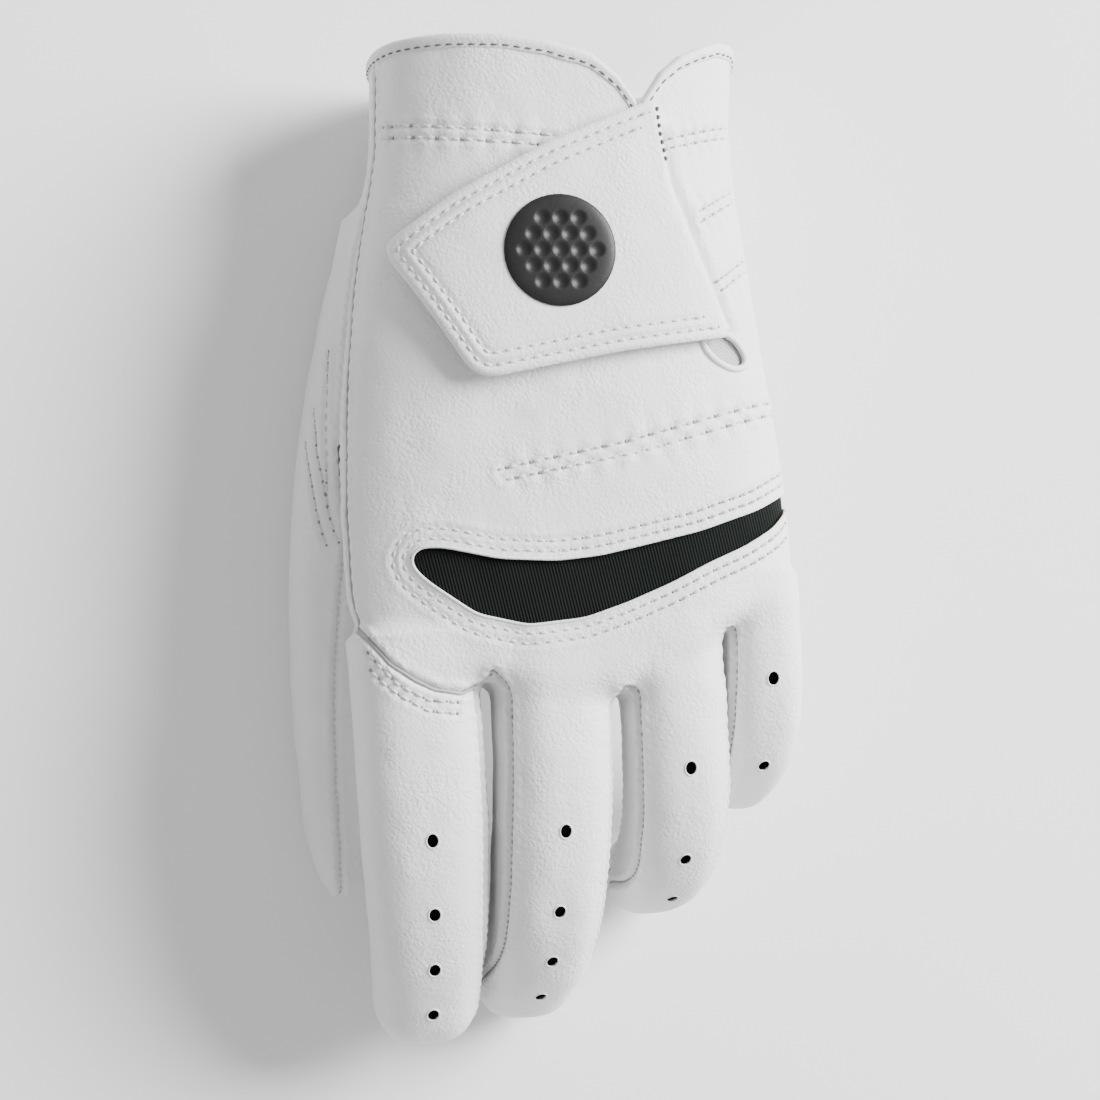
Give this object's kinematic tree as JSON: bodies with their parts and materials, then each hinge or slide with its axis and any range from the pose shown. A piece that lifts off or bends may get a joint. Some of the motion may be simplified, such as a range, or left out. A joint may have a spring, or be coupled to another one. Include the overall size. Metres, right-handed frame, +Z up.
{
  "type": "golf glove",
  "caption": "Left-hand leather golf glove with a folding wrist tab, ribbed stretch knuckle panel and perforated, half-curled finger stalls.",
  "frame": {"origin": "centre of the box at its base, on the surface the glove lies on, palm down", "axes": "+X towards the little-finger side, +Y towards the cuff, +Z up, out of the back of the hand"},
  "size_m": [0.1002, 0.1992, 0.0504],
  "materials": {
    "leather": "soft matte",
    "leather_binding": "soft matte",
    "stretch_knit": "ribbed matte",
    "elastic_tape": "ribbed matte",
    "hook_and_loop": "brushed matte",
    "lining_fabric": "woven matte",
    "moulded_rubber": "satin"
  },
  "bodies": {
    "root": {"back_panel": "leather", "palm_panel": "leather", "knuckle_stretch_insert": "stretch_knit", "fourchette_index_middle": "leather", "fourchette_middle_ring": "leather", "fourchette_ring_little": "leather", "index_knuckle_sleeve": "leather", "middle_knuckle_sleeve": "leather", "ring_knuckle_sleeve": "leather", "little_knuckle_sleeve": "leather", "thumb_gusset": "leather", "thumb_joint_sleeve": "leather", "cuff_binding": "leather_binding", "wrist_elastic": "elastic_tape", "slit_facing": "leather_binding", "size_tag": "hook_and_loop", "loop_patch": "hook_and_loop"},
    "index_finger": {"index_wrap_tip": "leather", "index_fourchette_right_tip": "leather"},
    "middle_finger": {"middle_back_tip": "leather", "middle_palm_tip": "leather", "middle_fourchette_left_tip": "leather", "middle_fourchette_right_tip": "leather"},
    "ring_finger": {"ring_back_tip": "leather", "ring_palm_tip": "leather", "ring_fourchette_left_tip": "leather", "ring_fourchette_right_tip": "leather"},
    "little_finger": {"little_back_tip": "leather", "little_palm_tip": "leather", "little_fourchette_left_tip": "leather"},
    "thumb": {"thumb_back_tip": "leather", "thumb_palm_tip": "leather"},
    "tab": {"tab_leather": "leather", "tab_lining": "lining_fabric", "hook_patch": "hook_and_loop", "emblem": "moulded_rubber"}
  },
  "joints": [
    {"name": "index_knuckle_bend", "type": "hinge", "parent": "root", "child": "index_finger", "pos_m": [-0.02542, -0.06178, 0.03327], "axis": [0.9976, 0.0695, -0.0061], "range_deg": [-12, 25], "deforming": ["index_knuckle_sleeve"]},
    {"name": "middle_knuckle_bend", "type": "hinge", "parent": "root", "child": "middle_finger", "pos_m": [-0.00053, -0.06149, 0.03355], "axis": [0.9956, 0.027, -0.0898], "range_deg": [-20, 45], "deforming": ["middle_knuckle_sleeve"]},
    {"name": "ring_knuckle_bend", "type": "hinge", "parent": "root", "child": "ring_finger", "pos_m": [0.02472, -0.04998, 0.03284], "axis": [0.9924, 0.0789, -0.0944], "range_deg": [-25, 32], "deforming": ["ring_knuckle_sleeve"]},
    {"name": "little_knuckle_bend", "type": "hinge", "parent": "root", "child": "little_finger", "pos_m": [0.04197, -0.03268, 0.03137], "axis": [0.9952, 0.0357, -0.0906], "range_deg": [-25, 32], "deforming": ["little_knuckle_sleeve"]},
    {"name": "thumb_joint_bend", "type": "hinge", "parent": "root", "child": "thumb", "pos_m": [-0.04083, -0.00715, 0.01239], "axis": [-0.0092, -0.0643, 0.9979], "range_deg": [-35, 8], "deforming": ["thumb_joint_sleeve"]},
    {"name": "tab_fold", "type": "hinge", "parent": "root", "child": "tab", "pos_m": [0.02621, 0.06364, 0.04457], "axis": [-0.3085, 0.9512, -0.005], "range_deg": [0, 150]}
  ]
}
